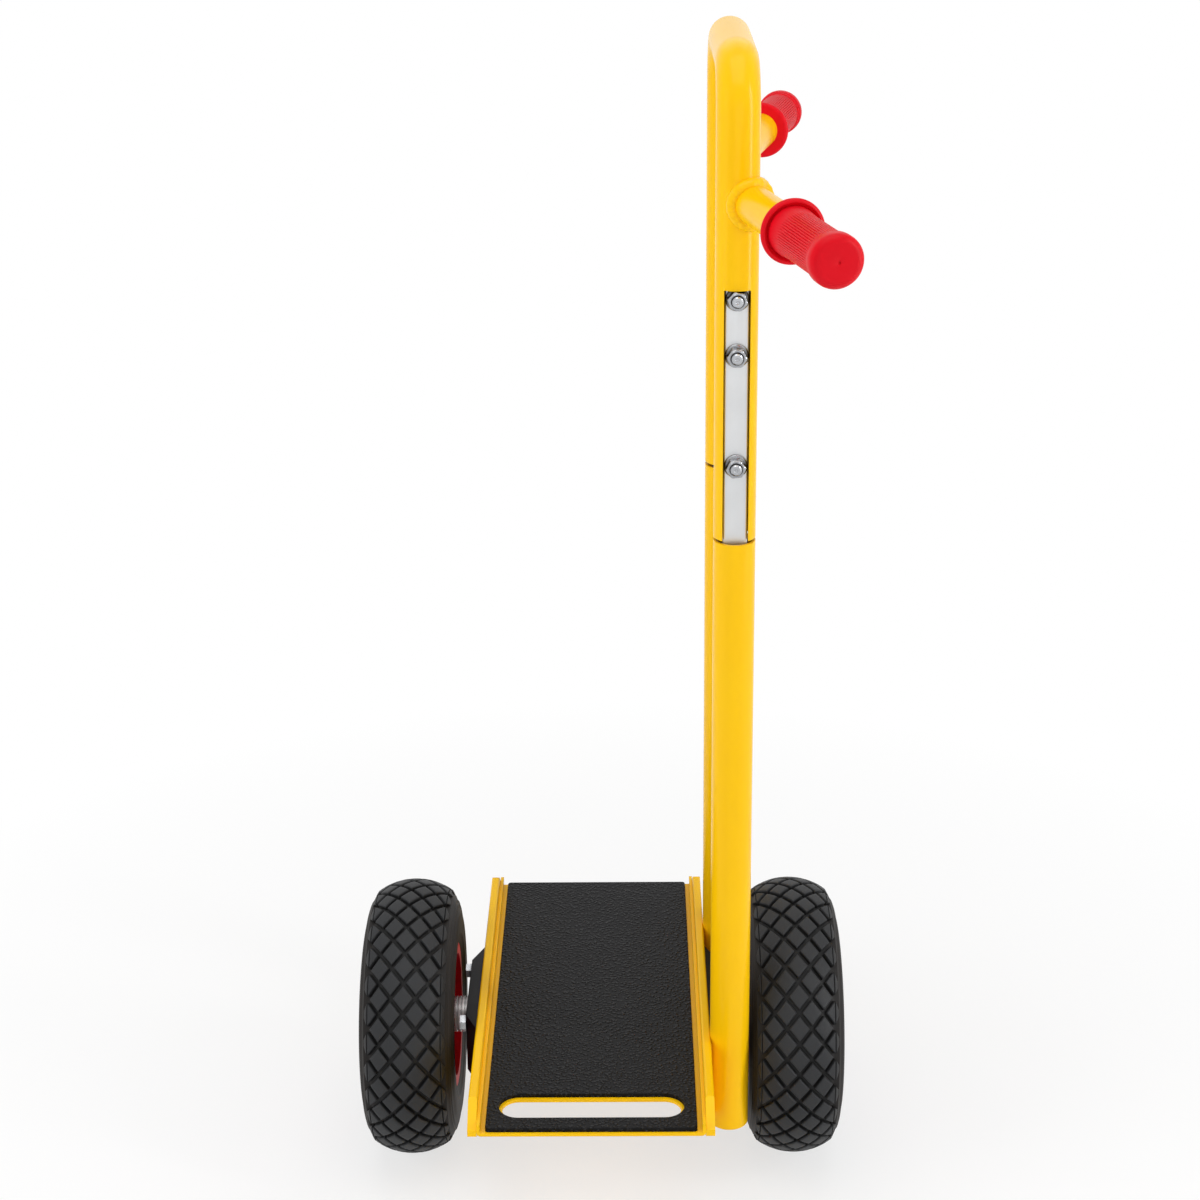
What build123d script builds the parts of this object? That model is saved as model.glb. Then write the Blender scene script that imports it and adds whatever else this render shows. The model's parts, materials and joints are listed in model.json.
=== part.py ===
from build123d import *
import os
from math import cos, hypot, pi, radians, sin

# A two-wheeled panel cart: a low tray on one axle, with a sliding bow at its right side.
# Millimetres. X runs along the axle, Y along the tray, Z up. The floor is Z = 0,
# and the origin lies under the middle of the axle.

# Wheels
tyre_diameter = 260
tyre_width = 87
wheel_track = 364
tyre_shoulder_drop = 11
tyre_shoulder_width = 70
tread_around = 32
tread_across = 20
tread_rows = 4
tread_groove = 3
tread_depth = 4.2
tread_root = 1.5
bead_seat_diameter = 121
bead_width = 76
rim_lip_diameter = 136
rim_lip_width = 3
rim_sheet = 2.5
rim_web_diameter = 94
rim_drop_width = 8
rim_boss_diameter = 50
rim_boss_tip_diameter = 40
rim_boss_length = 30
hub_diameter = 34
hub_length = 76
bearing_diameter = 28
bearing_length = 16
rim_bolt_circle = 66
rim_bolt_count = 4
rim_bolt_diameter = 8
rim_bolt_head = 13
rim_bolt_head_height = 5.5

# Axle and what is on it
axle_diameter = 20
axle_end_washer = 2.5
axle_end_washer_diameter = 36
axle_cap_diameter = 30
axle_cap_height = 3.5
axle_groove_count = 3
axle_groove_width = 1.6
axle_groove_depth = 1.2

# Tray, mat and side plates
tray_offset = -8
tray_length = 440
tray_width = 202
tray_sheet = 3
tray_fold_radius = 4
tray_above_axle = 5
tray_flange_height = 9
mat_thickness = 4
mat_width = 187
mat_end_margin = 2
mat_corner_radius = 3
mat_edge_radius = 1
slot_length = 166
slot_width = 36
slot_end_distance = 36
slot_lip = 3
plate_thickness = 8
plate_above_tray = 22
plate_below_axle = 38
plate_nose_height = 6
plate_nose_length = 24
plate_belly_length = 280
plate_edge_radius = 2

# Axle blocks, bolted to the outer faces of the side plates
block_thickness = 12
block_length = 150
block_slant = 26
block_height = 60
block_bolt_spacing = 92
block_bolt_edge = 10
block_bolt_diameter = 8
block_bolt_head = 13
block_bolt_head_height = 6

# Mast: two fixed legs and a bow that slides on bars inside them
tube_diameter = 36
tube_wall = 2.5
leg_spacing = 200
leg_below_plate = 13
leg_top = 660
leg_seat_depth = 0.5
bow_gap = 3
bow_top = 1078
bow_bend_radius = 40
window_height = 218
window_width = 21.6
bar_size = 21
bar_wall = 3
bar_corner_radius = 2
bar_above_window = 39
bar_in_leg = 280

# Bolts through the bars
bar_bolt_diameter = 10
bar_bolt_drop = 8
bar_bolt_pitch = 48
bar_bolt_steps = (0, 1, 3)
bar_bolt_overhang = 3
bar_bolt_head = 15
bar_bolt_head_height = 4
bar_nut_across_flats = 16
bar_nut_height = 8
bar_washer_diameter = 20
bar_washer_thickness = 2

# Screws that hold the bars at the chosen height
lock_drop = 40
lock_diameter = 10
lock_nut_across_flats = 16
lock_nut_height = 9
lock_head_height = 6
lock_stick_out = 6

# Grips
grip_drop = 126
grip_yaw = 14.5
grip_side_shift = 8
stub_diameter = 32
stub_wall = 2.5
stub_length = 206
grip_start = 112
grip_length = 108
grip_diameter = 42
grip_flange_diameter = 52
grip_flange_length = 9
grip_edge_radius = 4
grip_end_radius = 7

# Clearances
running_fit = 0.05
end_play = 0.4
lock_play = 0.3

# Worked out from the sizes above
axle_height = tyre_diameter / 2
wheel_x = wheel_track / 2
tray_bottom = axle_height + axle_diameter / 2 + tray_above_axle
tray_top = tray_bottom + tray_sheet
plate_inner = tray_width / 2
plate_outer = plate_inner + plate_thickness
plate_top = tray_top + plate_above_tray
plate_bottom = axle_height - plate_below_axle
block_top = axle_height + block_height / 2
block_bottom = axle_height - block_height / 2
block_bolt_height = block_top - block_bolt_edge
tube_radius = tube_diameter / 2
tube_bore = tube_radius - tube_wall
leg_x = tray_offset + plate_outer + tube_radius - leg_seat_depth
leg_y = leg_spacing / 2
leg_bottom = plate_bottom - leg_below_plate
lock_height = leg_top - lock_drop
bow_bottom = leg_top + bow_gap
window_top = bow_bottom + window_height
bow_center_top = bow_top - tube_radius
bar_top = window_top + bar_above_window
bar_bottom = leg_top - bar_in_leg
bar_bolt_top = window_top - bar_bolt_drop
bar_bolt_heights = [bar_bolt_top - bar_bolt_pitch * step for step in bar_bolt_steps]
mat_top = tray_top + mat_thickness
slot_y = -tray_length / 2 + slot_end_distance
grip_height = bow_top - grip_drop
hub_inner = wheel_x - hub_length / 2
hub_outer = wheel_x + hub_length / 2
sides = {"left": -1, "right": 1}
ends = {"near": -1, "far": 1}


def save(shape, name):
    export_step(shape, f"parts/{name}.step")


def group(shapes):
    return Compound(children=list(shapes))


def rod_x(diameter, x_start, x_end, y=0, z=0):
    length = abs(x_end - x_start)
    return Pos((x_start + x_end) / 2, y, z) * Rot(0, 90, 0) * Cylinder(diameter / 2, length)


def rod_y(diameter, y_start, y_end, x=0, z=0):
    length = abs(y_end - y_start)
    return Pos(x, (y_start + y_end) / 2, z) * Rot(90, 0, 0) * Cylinder(diameter / 2, length)


def rod_z(diameter, z_start, z_end, x=0, y=0):
    return Pos(x, y, (z_start + z_end) / 2) * Cylinder(diameter / 2, abs(z_end - z_start))


def hex_y(across_flats, y_start, y_end, x, z):
    sketch = RegularPolygon(across_flats / 2, 6, major_radius=False)
    prism = extrude(sketch, amount=abs(y_end - y_start) / 2, both=True)
    return Pos(x, (y_start + y_end) / 2, z) * Rot(90, 0, 0) * prism


def hex_x(across_flats, x_start, x_end, y, z):
    sketch = RegularPolygon(across_flats / 2, 6, major_radius=False)
    prism = extrude(sketch, amount=abs(x_end - x_start) / 2, both=True)
    return Pos((x_start + x_end) / 2, y, z) * Rot(0, 90, 0) * prism


def spun_about_axle(points_and_arcs, x):
    profile = make_face(points_and_arcs)
    return Pos(x, 0, axle_height) * revolve(profile, axis=Axis.X)


# Tray and mat
def hand_slot(length, width, z_low, z_high):
    outline = SlotOverall(length, width)
    cut = extrude(outline, amount=z_high - z_low)
    return Pos(tray_offset, slot_y, z_low) * cut


def make_tray():
    height = tray_sheet + tray_flange_height
    outer = Box(tray_width, tray_length, height)
    fold_edges = outer.edges().filter_by(Axis.Y).group_by(Axis.Z)[0]
    outer = fillet(fold_edges, tray_fold_radius)
    outer = Pos(tray_offset, 0, tray_bottom + height / 2) * outer
    inner = Box(tray_width - 2 * tray_sheet, tray_length, tray_flange_height)
    inner = Pos(tray_offset, 0, tray_top + tray_flange_height / 2) * inner
    cut = hand_slot(slot_length - 2 * slot_lip, slot_width - 2 * slot_lip, tray_bottom, tray_top)
    return outer - inner - cut


def make_mat():
    mat = Box(mat_width, tray_length - 2 * mat_end_margin, mat_thickness)
    mat = fillet(mat.edges().filter_by(Axis.Z), mat_corner_radius)
    mat = fillet(mat.faces().sort_by(Axis.Z)[-1].edges(), mat_edge_radius)
    mat = Pos(tray_offset, 0, tray_top + mat_thickness / 2) * mat
    return mat - hand_slot(slot_length, slot_width, tray_top, mat_top)


# Side plates and the axle
def plate_hole_places():
    return [-block_bolt_spacing / 2, block_bolt_spacing / 2]


def make_side_plate(side):
    end = tray_length / 2
    shoulder = end - plate_nose_length
    belly = plate_belly_length / 2
    nose = tray_bottom + plate_nose_height
    outline = [(-end, tray_bottom), (-end, nose), (-shoulder, plate_top), (shoulder, plate_top),
               (end, nose), (end, tray_bottom), (belly, plate_bottom), (-belly, plate_bottom)]
    face = make_face(Polyline([(0, y, z) for y, z in outline], close=True))
    plate = extrude(face, amount=plate_thickness, dir=(1, 0, 0))
    top_edges = plate.edges().filter_by(Axis.Y).group_by(Axis.Z)[-1]
    plate = fillet(top_edges, plate_edge_radius)
    x_low = plate_inner if side > 0 else -plate_outer
    plate = Pos(tray_offset + x_low, 0, 0) * plate
    reach = (tray_offset - plate_outer, tray_offset + plate_outer)
    plate -= rod_x(axle_diameter, *reach, z=axle_height)
    for y in plate_hole_places():
        plate -= rod_x(block_bolt_diameter, *reach, y=y, z=block_bolt_height)
    return plate


def block_faces(side):
    inner = tray_offset + side * plate_outer
    return inner, inner + side * block_thickness


def make_axle_block(side):
    inner, outer = block_faces(side)
    foot = block_length / 2
    crest = foot - block_slant
    face = make_face(Polyline([(inner, -foot), (outer, -crest), (outer, crest), (inner, foot)], close=True))
    block = Pos(0, 0, block_bottom) * extrude(face, amount=block_top - block_bottom, dir=(0, 0, 1))
    block -= rod_x(axle_diameter, inner, outer, z=axle_height)
    for y in plate_hole_places():
        block -= rod_x(block_bolt_diameter, inner, outer, y=y, z=block_bolt_height)
    return block


def make_block_bolts(side):
    outer = block_faces(side)[1]
    tip = tray_offset + side * plate_inner
    top = outer + side * block_bolt_head_height
    bolts = []
    for y in plate_hole_places():
        shank = rod_x(block_bolt_diameter, tip, outer, y=y, z=block_bolt_height)
        bolts.append(shank + hex_x(block_bolt_head, outer, top, y, block_bolt_height))
    return group(bolts)


def make_axle():
    reach = hub_outer + end_play + axle_end_washer + axle_cap_height / 2
    return rod_x(axle_diameter, -reach, reach, z=axle_height)


def make_axle_sleeve(side):
    start = block_faces(side)[1]
    end = side * (hub_inner - end_play)
    sleeve = rod_x(hub_diameter, start, end, z=axle_height)
    step = (end - start) / (axle_groove_count + 1)
    for i in range(axle_groove_count):
        middle = start + step * (i + 1)
        low = middle - axle_groove_width / 2
        high = middle + axle_groove_width / 2
        groove = rod_x(hub_diameter, low, high, z=axle_height)
        groove -= rod_x(hub_diameter - 2 * axle_groove_depth, low, high, z=axle_height)
        sleeve -= groove
    return sleeve - rod_x(axle_diameter, start, end, z=axle_height)


def make_end_washer(side):
    start = side * (hub_outer + end_play)
    end = start + side * axle_end_washer
    washer = rod_x(axle_end_washer_diameter, start, end, z=axle_height)
    return washer - rod_x(axle_diameter, start, end, z=axle_height)


def make_axle_cap(side):
    start = side * (hub_outer + end_play + axle_end_washer)
    end = start + side * axle_cap_height
    cap = rod_x(axle_cap_diameter, start, end, z=axle_height)
    return cap - rod_x(axle_diameter, start, start + side * axle_cap_height / 2, z=axle_height)


# Wheels
def tyre_skin():
    # The tyre's outline over the tops of the tread blocks, from lip to lip
    shoulder_x = tyre_shoulder_width / 2
    shoulder_r = tyre_diameter / 2 - tyre_shoulder_drop
    lip_x = bead_width / 2 + rim_lip_width
    lip_r = rim_lip_diameter / 2
    bulge_x = tyre_width / 2
    bulge_r = (lip_r + shoulder_r) / 2
    return Wire([
        ThreePointArc((-lip_x, lip_r), (-bulge_x, bulge_r), (-shoulder_x, shoulder_r)),
        ThreePointArc((-shoulder_x, shoulder_r), (0, tyre_diameter / 2), (shoulder_x, shoulder_r)),
        ThreePointArc((shoulder_x, shoulder_r), (bulge_x, bulge_r), (lip_x, lip_r)),
    ])


def on_skin(skin, across):
    # A point at this length across from the middle of the crown, and the way out of the tyre there
    along = skin.length / 2 + across
    point = skin.position_at(along, position_mode=PositionMode.LENGTH)
    tangent = skin.tangent_at(along, position_mode=PositionMode.LENGTH)
    return point, Vector(-tangent.Y, tangent.X)


def tread_floor(skin, across):
    point, outward = on_skin(skin, across)
    return point - outward * tread_depth


def carcass_outline(skin):
    # The tyre under its tread blocks
    seat = bead_seat_diameter / 2
    lip = rim_lip_diameter / 2
    half = bead_width / 2
    crown = skin.edges().sort_by(Axis.Y)[-1]
    shoulder = crown.length / 2 - tread_root
    edge = tread_across * (tread_rows + 1) / 2
    foot = edge + tread_groove
    wall_mid = (foot + skin.length / 2) / 2
    outline = [
        Line((-half, seat), (half, seat)),
        ThreePointArc(tread_floor(skin, -shoulder), tread_floor(skin, 0), tread_floor(skin, shoulder)),
    ]
    for way in (-1, 1):
        end = on_skin(skin, way * skin.length / 2)[0]
        outline += [
            Line((way * half, seat), (way * half, lip)),
            Line((way * half, lip), end),
            ThreePointArc(end, on_skin(skin, way * wall_mid)[0], on_skin(skin, way * foot)[0]),
            Line(on_skin(skin, way * foot)[0], tread_floor(skin, way * edge)),
            ThreePointArc(tread_floor(skin, way * edge), tread_floor(skin, way * (edge + shoulder) / 2),
                          tread_floor(skin, way * shoulder)),
        ]
    return outline


def tread_blocks(skin):
    # Lozenge blocks, flat on top, so that the cart stands on one of each tyre's middle row
    radius = tyre_diameter / 2
    pitch = 360 / tread_around
    long_half = pi * radius / tread_around
    wide_half = tread_across / 2
    keep = 1 - tread_groove * hypot(1 / (2 * long_half), 1 / (2 * wide_half))
    blocks = []
    for row in range(-tread_rows, tread_rows + 1):
        point, outward = on_skin(skin, row * wide_half)
        long = long_half * keep * point.Y / radius
        wide = wide_half * keep
        seat = Plane(origin=(point.X, 0, point.Y), x_dir=(0, 1, 0), z_dir=(outward.X, 0, outward.Y))
        face = seat * Polygon((long, 0), (0, wide), (-long, 0), (0, -wide), align=None)
        block = extrude(face, amount=-(tread_depth + tread_root))
        first = pitch / 2 * (row % 2)
        blocks += [Rot(first + pitch * i, 0, 0) * block for i in range(tread_around)]
    return blocks


def make_tyre(side):
    skin = tyre_skin()
    place = Pos(side * wheel_x, 0, axle_height)
    carcass = spun_about_axle(carcass_outline(skin), side * wheel_x)
    return carcass + [place * block for block in tread_blocks(skin)]


def make_rim_half(side, outward):
    seat = bead_seat_diameter / 2
    web = rim_web_diameter / 2
    lip_face = bead_width / 2 + rim_lip_width
    points = [(0, hub_diameter / 2), (0, web), (rim_drop_width, seat), (bead_width / 2, seat),
              (bead_width / 2, rim_lip_diameter / 2), (lip_face, rim_lip_diameter / 2),
              (lip_face, seat - rim_sheet), (rim_drop_width + rim_sheet / 2, seat - rim_sheet),
              (rim_sheet, web - rim_sheet / 2), (rim_sheet, rim_boss_diameter / 2),
              (rim_boss_length, rim_boss_tip_diameter / 2), (rim_boss_length, hub_diameter / 2)]
    facing = side * outward
    half = spun_about_axle(Polyline([(facing * x, r) for x, r in points], close=True), side * wheel_x)
    return half - rim_bolt_set(side, rim_bolt_diameter)


def rim_bolt_places():
    ring = rim_bolt_circle / 2
    turn = 360 / rim_bolt_count
    angles = [radians(turn * (i + 0.5)) for i in range(rim_bolt_count)]
    return [(ring * cos(a), axle_height + ring * sin(a)) for a in angles]


def rim_bolt_set(side, diameter):
    middle = side * wheel_x
    reach = rim_sheet
    return [rod_x(diameter, middle - reach, middle + reach, y, z) for y, z in rim_bolt_places()]


def make_rim_bolts(side):
    middle = side * wheel_x
    web_face = rim_sheet
    head_face = web_face + rim_bolt_head_height
    bolts = []
    for y, z in rim_bolt_places():
        bolt = rod_x(rim_bolt_diameter, middle - web_face, middle + web_face, y, z)
        for way in (-1, 1):
            bolt += hex_x(rim_bolt_head, middle + way * web_face, middle + way * head_face, y, z)
        bolts.append(bolt)
    return group(bolts)


def make_hub(side):
    start = side * hub_inner
    end = side * hub_outer
    hub = rod_x(hub_diameter, start, end, z=axle_height)
    return hub - rod_x(bearing_diameter, start, end, z=axle_height)


def make_bearings(side):
    rings = []
    for start in (hub_inner, hub_outer - bearing_length):
        low = side * start
        high = side * (start + bearing_length)
        ring = rod_x(bearing_diameter, low, high, z=axle_height)
        rings.append(ring - rod_x(axle_diameter + 2 * running_fit, low, high, z=axle_height))
    return group(rings)


# Mast
def make_leg(end):
    y = end * leg_y
    leg = rod_z(tube_diameter, leg_bottom, leg_top, leg_x, y)
    leg -= rod_z(2 * tube_bore, leg_bottom, leg_top, leg_x, y)
    plate_face = tray_offset + plate_outer
    seat = Pos(plate_face - tube_radius, y, (leg_bottom + plate_top) / 2)
    leg -= seat * Box(tube_diameter, tube_diameter, plate_top - leg_bottom)
    back = y - end * tube_diameter
    return leg - rod_y(lock_diameter, y, back, leg_x, lock_height)


def bow_path():
    corners = [(leg_x, -leg_y, bow_bottom), (leg_x, -leg_y, bow_center_top),
               (leg_x, leg_y, bow_center_top), (leg_x, leg_y, bow_bottom)]
    return FilletPolyline(*corners, radius=bow_bend_radius)


def make_bow():
    path = bow_path()
    start = Plane(origin=(leg_x, -leg_y, bow_bottom), z_dir=(0, 0, 1))
    bow = sweep(start * Circle(tube_radius), path=path)
    bow -= sweep(start * Circle(tube_bore), path=path)
    for end in ends.values():
        front = Pos(leg_x, end * (leg_y + tube_radius), bow_bottom + window_height / 2)
        bow -= front * Box(window_width, tube_diameter - bar_size, window_height)
        inside = end * (leg_y - tube_diameter)
        for z in bar_bolt_heights:
            bow -= rod_y(bar_bolt_diameter, end * leg_y, inside, leg_x, z)
    return bow


def make_bar(end):
    hollow = bar_size - 2 * bar_wall
    section = RectangleRounded(bar_size, bar_size, bar_corner_radius) - Rectangle(hollow, hollow)
    bar = Pos(leg_x, end * leg_y, bar_bottom) * extrude(section, amount=bar_top - bar_bottom)
    for z in bar_bolt_heights:
        half = bar_size / 2
        bar -= rod_y(bar_bolt_diameter, end * (leg_y - half), end * (leg_y + half), leg_x, z)
    return bar


def bolt_stack(end):
    front = leg_y + bar_size / 2
    washer = front + bar_washer_thickness
    nut = washer + bar_nut_height
    return end * front, end * washer, end * nut, end * (nut + bar_bolt_overhang)


def make_bar_bolts():
    bolts = []
    for end in ends.values():
        seat = end * (leg_y - tube_radius)
        head = seat - end * bar_bolt_head_height
        tip = bolt_stack(end)[3]
        for z in bar_bolt_heights:
            shank = rod_y(bar_bolt_diameter, seat, tip, leg_x, z)
            bolts.append(shank + rod_y(bar_bolt_head, head, seat, leg_x, z))
    return group(bolts)


def make_bar_washers():
    washers = []
    for end in ends.values():
        front, back = bolt_stack(end)[:2]
        for z in bar_bolt_heights:
            washer = rod_y(bar_washer_diameter, front, back, leg_x, z)
            washers.append(washer - rod_y(bar_bolt_diameter, front, back, leg_x, z))
    return group(washers)


def make_bar_nuts():
    nuts = []
    for end in ends.values():
        low, high = bolt_stack(end)[1:3]
        for z in bar_bolt_heights:
            nut = hex_y(bar_nut_across_flats, low, high, leg_x, z)
            nuts.append(nut - rod_y(bar_bolt_diameter, low, high, leg_x, z))
    return group(nuts)


def lock_faces(end):
    tip = leg_y - bar_size / 2 - lock_play
    nut_end = leg_y - tube_radius - lock_nut_height
    return end * tip, end * nut_end


def make_lock_nut(end):
    middle = end * leg_y
    nut_end = lock_faces(end)[1]
    nut = hex_y(lock_nut_across_flats, middle, nut_end, leg_x, lock_height)
    nut -= rod_z(tube_diameter, leg_bottom, leg_top, leg_x, middle)
    return nut - rod_y(lock_diameter, middle, nut_end, leg_x, lock_height)


def make_lock_screw(end):
    tip, nut_end = lock_faces(end)
    neck = nut_end - end * lock_stick_out
    head = neck - end * lock_head_height
    screw = rod_y(lock_diameter, tip, neck, leg_x, lock_height)
    return screw + hex_y(lock_nut_across_flats, neck, head, leg_x, lock_height)


# Grips
def grip_frame(end):
    yaw = radians(grip_yaw)
    outward = (sin(yaw), end * cos(yaw), 0)
    origin = (leg_x + grip_side_shift, end * leg_y, grip_height)
    return Plane(origin=origin, x_dir=(0, 0, 1), z_dir=outward)


def make_stub(end):
    frame = grip_frame(end)
    stub = frame * Pos(0, 0, stub_length / 2) * Cylinder(stub_diameter / 2, stub_length)
    bore = frame * Pos(0, 0, stub_length / 2) * Cylinder(stub_diameter / 2 - stub_wall, stub_length)
    saddle = rod_z(tube_diameter, grip_height - stub_diameter, grip_height + stub_diameter,
                   leg_x, end * leg_y)
    return stub - bore - saddle


def make_grip(end):
    frame = grip_frame(end)
    body = Pos(0, 0, grip_length / 2) * Cylinder(grip_diameter / 2, grip_length)
    body = fillet(body.edges().filter_by(GeomType.CIRCLE).sort_by(Axis.Z)[-1], grip_end_radius)
    flange = Pos(0, 0, grip_flange_length / 2) * Cylinder(grip_flange_diameter / 2, grip_flange_length)
    flange = fillet(flange.edges().filter_by(GeomType.CIRCLE), grip_edge_radius)
    depth = stub_length - grip_start
    bore = Pos(0, 0, depth / 2) * Cylinder(stub_diameter / 2, depth)
    return frame * Pos(0, 0, grip_start) * (body + flange - bore)


os.makedirs("parts", exist_ok=True)
save(make_tray(), "tray")
save(make_mat(), "rubber_mat")
save(make_axle(), "axle")
save(make_bow(), "bow")
save(make_bar_bolts(), "bar_bolts")
save(make_bar_washers(), "bar_washers")
save(make_bar_nuts(), "bar_nuts")
for name, side in sides.items():
    save(make_side_plate(side), f"{name}_side_plate")
    save(make_axle_block(side), f"{name}_axle_block")
    save(make_block_bolts(side), f"{name}_block_bolts")
    save(make_axle_sleeve(side), f"{name}_axle_sleeve")
    save(make_end_washer(side), f"{name}_end_washer")
    save(make_axle_cap(side), f"{name}_axle_cap")
    save(make_tyre(side), f"{name}_tyre")
    save(make_rim_half(side, -1), f"{name}_inner_rim")
    save(make_rim_half(side, 1), f"{name}_outer_rim")
    save(make_rim_bolts(side), f"{name}_rim_bolts")
    save(make_hub(side), f"{name}_hub")
    save(make_bearings(side), f"{name}_bearings")
for name, end in ends.items():
    save(make_leg(end), f"{name}_leg")
    save(make_bar(end), f"{name}_slide_bar")
    save(make_lock_nut(end), f"{name}_lock_nut")
    save(make_lock_screw(end), f"{name}_lock_screw")
    save(make_stub(end), f"{name}_grip_stub")
    save(make_grip(end), f"{name}_grip")
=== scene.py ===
import json
import math

import bpy
from mathutils import Matrix, Vector


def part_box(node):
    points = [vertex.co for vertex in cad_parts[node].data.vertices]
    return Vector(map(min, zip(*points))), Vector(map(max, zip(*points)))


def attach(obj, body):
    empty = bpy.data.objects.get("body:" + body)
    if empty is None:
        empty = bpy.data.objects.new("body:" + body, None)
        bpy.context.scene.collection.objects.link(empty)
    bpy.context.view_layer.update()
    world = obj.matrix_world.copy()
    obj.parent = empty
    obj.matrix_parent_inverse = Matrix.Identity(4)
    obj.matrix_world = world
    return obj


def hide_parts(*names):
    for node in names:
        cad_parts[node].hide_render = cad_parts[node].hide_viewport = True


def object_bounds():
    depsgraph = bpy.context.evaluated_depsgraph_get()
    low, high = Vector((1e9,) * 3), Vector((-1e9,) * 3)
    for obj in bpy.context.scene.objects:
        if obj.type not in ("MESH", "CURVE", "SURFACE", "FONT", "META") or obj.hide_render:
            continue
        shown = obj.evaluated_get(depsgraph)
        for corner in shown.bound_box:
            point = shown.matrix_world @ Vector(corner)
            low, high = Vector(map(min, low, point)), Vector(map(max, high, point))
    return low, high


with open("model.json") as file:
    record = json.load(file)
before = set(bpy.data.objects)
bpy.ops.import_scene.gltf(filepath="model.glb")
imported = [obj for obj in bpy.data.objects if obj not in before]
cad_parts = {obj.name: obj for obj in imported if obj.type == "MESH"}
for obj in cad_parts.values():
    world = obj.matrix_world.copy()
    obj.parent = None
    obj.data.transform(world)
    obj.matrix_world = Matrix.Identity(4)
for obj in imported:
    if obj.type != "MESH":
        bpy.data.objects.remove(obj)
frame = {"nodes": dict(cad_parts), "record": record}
cadLow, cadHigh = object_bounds()
nodes = frame["nodes"]
upward = Vector((0.0, 0.0, 1.0))
print("frame loaded,", len(nodes), "nodes")


# a socket that can be used in sums, and the one way to add any other shader node
class Wire:
    def __init__(self, tree, socket=None):
        self.tree = tree
        self.socket = socket

    def add(self, kind, settings=None, inputs=None, output=0):
        node = self.tree.nodes.new(kind)
        for name, value in (settings or {}).items():
            setattr(node, name, value)
        for key, value in (inputs or {}).items():
            if isinstance(value, Wire):
                self.tree.links.new(value.socket, node.inputs[key])
            else:
                node.inputs[key].default_value = value
        return Wire(self.tree, node.outputs[output]) if node.outputs else node

    def maths(self, operation, first, second):
        return self.add("ShaderNodeMath", {"operation": operation}, {0: first, 1: second})

    def __add__(self, other):
        return self.maths("ADD", self, other)

    def __radd__(self, other):
        return self.maths("ADD", other, self)

    def __sub__(self, other):
        return self.maths("SUBTRACT", self, other)

    def __rsub__(self, other):
        return self.maths("SUBTRACT", other, self)

    def __mul__(self, other):
        return self.maths("MULTIPLY", self, other)

    def __rmul__(self, other):
        return self.maths("MULTIPLY", other, self)

    def __truediv__(self, other):
        return self.maths("DIVIDE", self, other)

    def __rtruediv__(self, other):
        return self.maths("DIVIDE", other, self)

    def clamped(self, low=0.0, high=1.0):
        return self.add("ShaderNodeClamp", {}, {0: self, 1: low, 2: high})


def startFinish(name):
    material = bpy.data.materials.new(name)
    material.use_nodes = True
    material.node_tree.nodes.clear()
    return material, Wire(material.node_tree)


def closeFinish(wire, inputs):
    shader = wire.add("ShaderNodeBsdfPrincipled", {}, inputs)
    wire.add("ShaderNodeOutputMaterial", {}, {"Surface": shader})


def place(wire):
    return wire.add("ShaderNodeTexCoord", {}, {}, "Object")


# low, plain and rich are amounts of detail
noiseSet = {"roughness": 0.55, "middle": 0.5, "low": 2.0, "plain": 3.0, "rich": 4.0}


def noise(wire, coords, scale, detail="plain"):
    return wire.add("ShaderNodeTexNoise", {},
                    {"Vector": coords, "Scale": scale, "Detail": noiseSet[detail],
                     "Roughness": noiseSet["roughness"]}, "Fac")


def swing(pattern, amount):
    # a pattern's drift to both sides of its middle
    return (pattern - noiseSet["middle"]) * amount


def vectorMaths(wire, operation, values, output="Vector"):
    return wire.add("ShaderNodeVectorMath", {"operation": operation}, dict(enumerate(values)), output)


def mixColour(wire, factor, first, second):
    # colour sockets of a Mix node go by number, since their names repeat
    ends = [end if isinstance(end, Wire) else (*end, 1.0) for end in (first, second)]
    return wire.add("ShaderNodeMix", {"data_type": "RGBA"}, {0: factor, 6: ends[0], 7: ends[1]}, 2)


def bump(wire, height, distance, strength, normal=None):
    inputs = {"Height": height, "Distance": distance, "Strength": strength}
    if normal:
        inputs["Normal"] = normal
    return wire.add("ShaderNodeBump", {}, inputs)


def softEdges(wire, radius, samples=6):
    return wire.add("ShaderNodeBevel", {"samples": samples}, {"Radius": radius})


# paint: orange-peel skin, slightly deeper colour in broad soft patches
yellowCoat = {"light": (0.950, 0.565, 0.003), "deep": (0.930, 0.515, 0.002),
              "patch": 9.0, "patchDetail": "plain", "patchRough": 0.08,
              "peel": 420.0, "peelHeight": 0.00001, "peelStrength": 0.5, "peelRough": 0.05,
              "roughness": 0.22, "edge": 0.0008, "shine": 0.15}
redCoat = {"light": (0.66, 0.004, 0.012), "deep": (0.50, 0.002, 0.008),
           "patch": 22.0, "patchDetail": "plain", "patchRough": 0.12,
           "peel": 500.0, "peelHeight": 0.00005, "peelStrength": 0.5,
           "roughness": 0.40, "edge": 0.0006, "shine": 0.05}
blackCoat = {"light": (0.010, 0.010, 0.011), "deep": (0.005, 0.005, 0.006),
             "patch": 25.0, "patchDetail": "rich", "patchRough": 0.15,
             "peel": 380.0, "peelHeight": 0.0001, "peelStrength": 0.6,
             "roughness": 0.42, "edge": 0.001, "shine": 0.12}


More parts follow.
